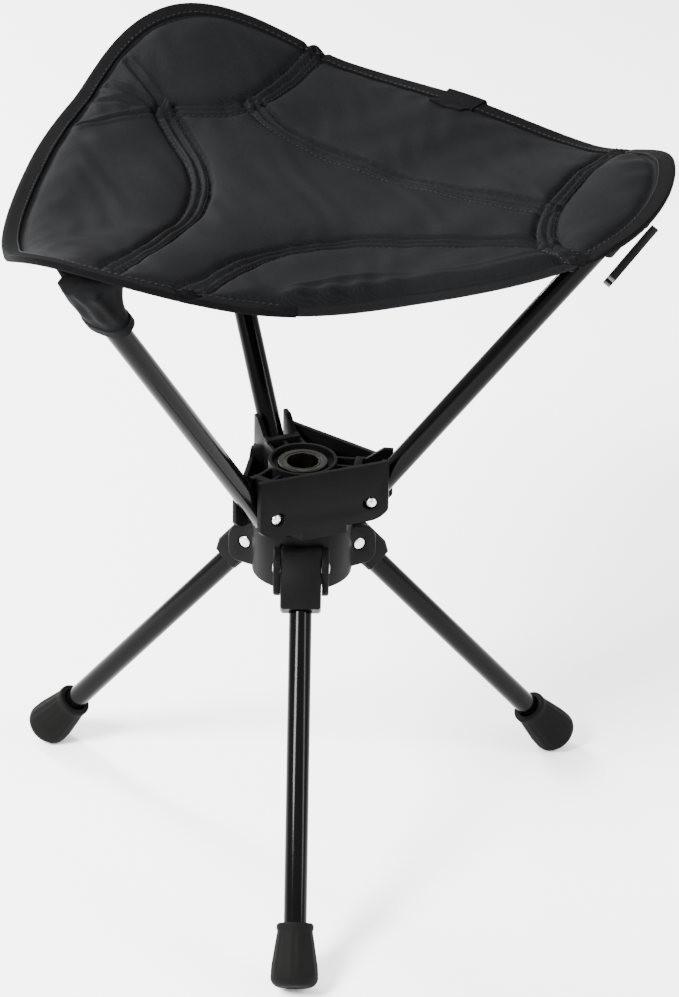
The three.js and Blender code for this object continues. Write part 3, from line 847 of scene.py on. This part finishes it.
def sew():
    """One object of stitches for each third of the seat."""
    meshes = {arm: ([], []) for arm in ARMS}
    for line, proud in stitch_rows():
        azimuth, ratio = place_of(walk(line, STITCH_PITCH))
        places = seat_points(azimuth, ratio, top_lift(azimuth, ratio) + proud)
        for k in np.nonzero(ratio[:-1] < 0.985)[0]:
            centre = Vector(places[k])
            along = (Vector(places[k + 1]) - centre).normalized()
            up = Vector((0.0, 0.0, 1.0))
            up = (up - along * up.dot(along)).normalized()
            verts, faces = meshes[arm_of(azimuth[k])]
            stitch_mesh(verts, faces, centre, along, up)
    for arm, (verts, faces) in meshes.items():
        obj = new_piece(f"stitches_{arm}", verts, faces, "thread", 60)
        follow_arm(obj)


for arm in ARMS:
    for number, stretch in enumerate(bound_stretches(arm)):
        binding_strip(f"binding_{arm}_{number}", stretch)
sew()

# ---------------------------------------------------------------- corner pockets

POCKET_START = 254.0             # along the arm from its pin
POCKET_END = 302.5
POCKET_HALF_W = 19.0
POCKET_HALF_D = 10.6
POCKET_FLARE = 0.85              # how much wider the sleeve is where it is sewn to the seat
POCKET_CLOSES = 299.0            # from here the sleeve narrows to its end
POCKET_BORE = 8.7                # radius of the space for the arm
POCKET_SQUARE = 2.6              # 2 would be an ellipse, more is squarer
POCKET_CLOTH = 0.9               # left clear all round for the hem and creases
HEM_WIDTH = 8.0
HEM_THICK = 0.8


def under_seat(x, y):
    """Height of the seat's underside over a point of the row frame, in mm."""
    dx, dy = (x - AXIS.x) / MM, (y - AXIS.y) / MM
    azimuth = math.atan2(dy, dx) - SEAT_TURN
    ratio = math.hypot(dx, dy) / float(round_edge(SEAT_EDGE_R, np.array([azimuth]))[0])
    height = float(round_edge(SEAT_EDGE_Z, np.array([azimuth]))[0])
    half = MIDDLE_HALF + (EDGE_HALF - MIDDLE_HALF) * ratio
    return SEAT_CENTRE_Z + (height - SEAT_CENTRE_Z) * ratio ** 2 - half


def pocket(arm):
    """A sewn sleeve on the arm's tip: hemmed mouth, creased body, and a top drawn up to the seat."""
    place = arm_matrix(arm)
    up = Vector((0.0, 0.0, 1.0))
    sides = 96
    hem_end = POCKET_START + HEM_WIDTH
    stations = [POCKET_START + d for d in (0.0, 0.4, 1.2, 3.0, 5.5, 7.0, 7.6, 8.2, 9.0)]
    stations += [POCKET_START + 10.0 + 1.6 * k for k in range(22)]
    stations += [300.2, 301.4, 302.2, POCKET_END]
    outer, inner = [], []
    for s in stations:
        hem = HEM_THICK if POCKET_START + 0.3 < s < hem_end else 0.0
        shrink = 1.0
        if s > POCKET_CLOSES:
            part = (s - POCKET_CLOSES) / (POCKET_END - POCKET_CLOSES)
            shrink = math.sqrt(max(0.0, 1 - part ** 2))
            shrink = 0.72 + 0.28 * shrink
        ring, bore = [], []
        for k in range(sides):
            angle = 2 * math.pi * k / sides
            c, n = math.cos(angle), math.sin(angle)
            power = (abs(c) ** POCKET_SQUARE + abs(n) ** POCKET_SQUARE) ** (-1 / POCKET_SQUARE)
            away = min(max((s - hem_end) / 12.0, 0.0), 1.0)
            crease = away * 0.55 * math.sin(9 * angle + 0.06 * s)
            crease += away * 0.35 * math.sin(0.25 * s + 2 * c + 1.5 * n)
            depth = (POCKET_HALF_D - POCKET_CLOTH + hem + crease) * power * c * shrink
            draw = min(max((s - 262.0) / 32.0, 0.0), 1.0) * max(-c, 0.0) ** 0.6
            draw = draw * draw * (3 - 2 * draw)
            flare = 1.0 + POCKET_FLARE * draw
            width = (POCKET_HALF_W - POCKET_CLOTH + hem + crease) * power * n * shrink * flare
            point = place @ (Vector((depth, width, s)) * MM)
            ceiling = under_seat(point.x, point.y) * MM + 0.6 * MM
            point = point + up * max(ceiling - point.z, 0.0) * draw
            ring.append(point)
            reach = POCKET_BORE if s < 300.6 else POCKET_BORE * 0.2
            bore.append(place @ (Vector((reach * c, reach * n, min(s, 300.4))) * MM))
        outer.append(ring)
        inner.append(bore)
    rows = outer + inner[::-1]
    verts = [p for ring in rows for p in ring]
    faces = []
    for r in range(len(rows)):
        following = (r + 1) % len(rows)
        if r == len(outer) - 1:
            continue                    # the closed end is capped below
        for k in range(sides):
            m = (k + 1) % sides
            faces.append((r * sides + k, r * sides + m, following * sides + m,
                          following * sides + k))
    tip = (len(outer) - 1) * sides
    faces.append(tuple(tip + k for k in range(sides)))
    faces.append(tuple(tip + sides + k for k in reversed(range(sides))))
    obj = new_piece(f"pocket_{arm}", verts, faces, "fabric", 60)
    tidy_mesh(obj)
    soften(obj, 60)
    settle(obj, f"corner_pocket_{arm}")


for arm in ARMS:
    pocket(arm)

# ---------------------------------------------------------------- hanging loop, strap and hook

LOOP_AZIMUTH = math.radians(61)
LOOP_HALF_W = 15.6
LOOP_THICK = 1.3


def hanging_loop():
    """Tape folded over the back edge, sewn down through both faces."""
    across = np.linspace(-LOOP_HALF_W, LOOP_HALF_W, 17)
    edge_r = float(round_edge(SEAT_EDGE_R, np.array([LOOP_AZIMUTH]))[0])
    azimuths = LOOP_AZIMUTH + across / edge_r
    radius = round_edge(SEAT_EDGE_R, azimuths)
    outer, inner = [], []
    for inset in (25.0, 24.4, 20.0, 15.0, 12.5, 10.0, 6.0, 2.0):
        ratio = 1 - inset / radius
        base = top_lift(azimuths, ratio) + (BINDING_THICK if inset < BINDING_WIDTH + 0.4 else 0.1)
        outer.append(seat_points(azimuths, ratio, base + (LOOP_THICK if inset < 24.9 else 0.2)))
        inner.append(seat_points(azimuths, ratio, base + 0.05))
    for step in range(7):
        angle = math.pi * step / 6
        out = 2.6 + 1.6 * math.sin(angle)
        outer.append(seat_points(azimuths, 1 + (out + 1.2 * math.sin(angle)) / radius,
                                 4.6 * math.cos(angle)))
        inner.append(seat_points(azimuths, 1 + out / radius, 3.4 * math.cos(angle)))
    for inset in (2.0, 8.0, 14.0, 20.0, 24.4, 25.0):
        ratio = 1 - inset / radius
        base = -(MIDDLE_HALF + (EDGE_HALF - MIDDLE_HALF) * ratio)
        base = base - (BINDING_THICK if inset < BINDING_WIDTH + 0.4 else 0.1) - 0.8
        outer.append(seat_points(azimuths, ratio, base - (LOOP_THICK if inset < 24.9 else 0.2)))
        inner.append(seat_points(azimuths, ratio, base - 0.05))
    settle(tape("loop_tape", outer + inner[::-1]), "hanging_loop")


STRAP_HALF_W = 8.6


def strap():
    """The hook's short tape: down from the seat to the hook plate, bulging a little midway."""
    points = np.array([v.co for v in frame["nodes"]["strap_tab"].data.vertices])
    middle = points.mean(axis=0)
    _, _, axes = np.linalg.svd((points - middle)[:, :2], full_matrices=False)
    side = Vector((axes[0][0], axes[0][1], 0.0))
    out = Vector((side.y, -side.x, 0.0))
    top = Vector((middle[0], middle[1], under_seat(middle[0], middle[1]) * MM))
    bottom = Vector((middle[0], middle[1], points[:, 2].min() + 0.6 * MM))
    outer, inner = [], []
    for t in np.linspace(0, 1, 9):
        spread = out * (1.2 + 0.5 * math.sin(math.pi * t)) * MM
        here = top.lerp(bottom, t) + Vector((0.0, 0.0, 1.0 * MM * (1 - t)))
        outer.append(here + spread)
        inner.append(here - spread)
    rows = [[point + side * offset * MM for offset in np.linspace(-STRAP_HALF_W, STRAP_HALF_W, 9)]
            for point in outer + inner[::-1]]
    settle(tape("strap_tape", rows), "strap_tab")


hanging_loop()
strap()
refined("strap_hook", 0.9, "buckle")

# ---------------------------------------------------------------- camera, light and floor

CAMERA_ELEVATION = math.radians(28.4)
CAMERA_DISTANCE = 2.989
CAMERA_ROLL = math.radians(0.86)
CAMERA_AIM = Vector((0.0261, 0.0, 0.2683))
FOCAL_MM = 153.5


def camera():
    """The photo's view: from the front and above through a long lens, leaning slightly left."""
    back = Vector((0.0, -math.cos(CAMERA_ELEVATION), math.sin(CAMERA_ELEVATION)))
    right = Vector((1.0, 0.0, 0.0))
    up = right.cross(-back)
    rolled_right = right * math.cos(CAMERA_ROLL) + up * math.sin(CAMERA_ROLL)
    rolled_up = up * math.cos(CAMERA_ROLL) - right * math.sin(CAMERA_ROLL)
    data = bpy.data.cameras.new("view")
    data.lens = FOCAL_MM
    data.sensor_width = 36.0
    obj = bpy.data.objects.new("view", data)
    matrix = Matrix((rolled_right, rolled_up, back)).transposed().to_4x4()
    matrix.translation = AXIS + CAMERA_AIM + back * CAMERA_DISTANCE
    obj.matrix_world = matrix
    bpy.context.scene.collection.objects.link(obj)
    bpy.context.scene.camera = obj


def area_light(name, location, target, size, power):
    """A rectangular lamp that faces its target."""
    data = bpy.data.lights.new(name, "AREA")
    data.shape = "RECTANGLE"
    data.size = size[0]
    data.size_y = size[1]
    data.energy = power
    obj = bpy.data.objects.new(name, data)
    obj.location = location
    obj.rotation_euler = (Vector(target) - Vector(location)).to_track_quat("-Z", "Y").to_euler()
    bpy.context.scene.collection.objects.link(obj)


def floor():
    """A wide pale floor, which is not part of the object."""
    mesh = bpy.data.meshes.new("floor")
    side = 14.0
    mesh.from_pydata([(-side, -side, 0), (side, -side, 0), (side, side, 0), (-side, side, 0)], [],
                     [(0, 1, 2, 3)])
    n = Nodes("floor_paint", (0.95, 0.95, 0.95), 0.8, specular=0.1)
    mesh.materials.append(n.finish())
    obj = bpy.data.objects.new("floor", mesh)
    bpy.context.scene.collection.objects.link(obj)


def world():
    """An even white surround."""
    made = bpy.data.worlds.new("studio")
    made.use_nodes = True
    background = made.node_tree.nodes["Background"]
    background.inputs["Color"].default_value = (1.0, 1.0, 1.0, 1.0)
    background.inputs["Strength"].default_value = 1.9
    bpy.context.scene.world = made


camera()
world()
floor()
area_light("key", (-1.6, -1.4, 2.2), (0, 0, 0.35), (0.8, 1.2), 380)
area_light("fill", (2.2, -0.8, 1.4), (0, 0, 0.35), (0.5, 1.6), 70)
area_light("strip", (-1.2, 1.6, 1.5), (0, 0, 0.35), (0.3, 1.8), 130)
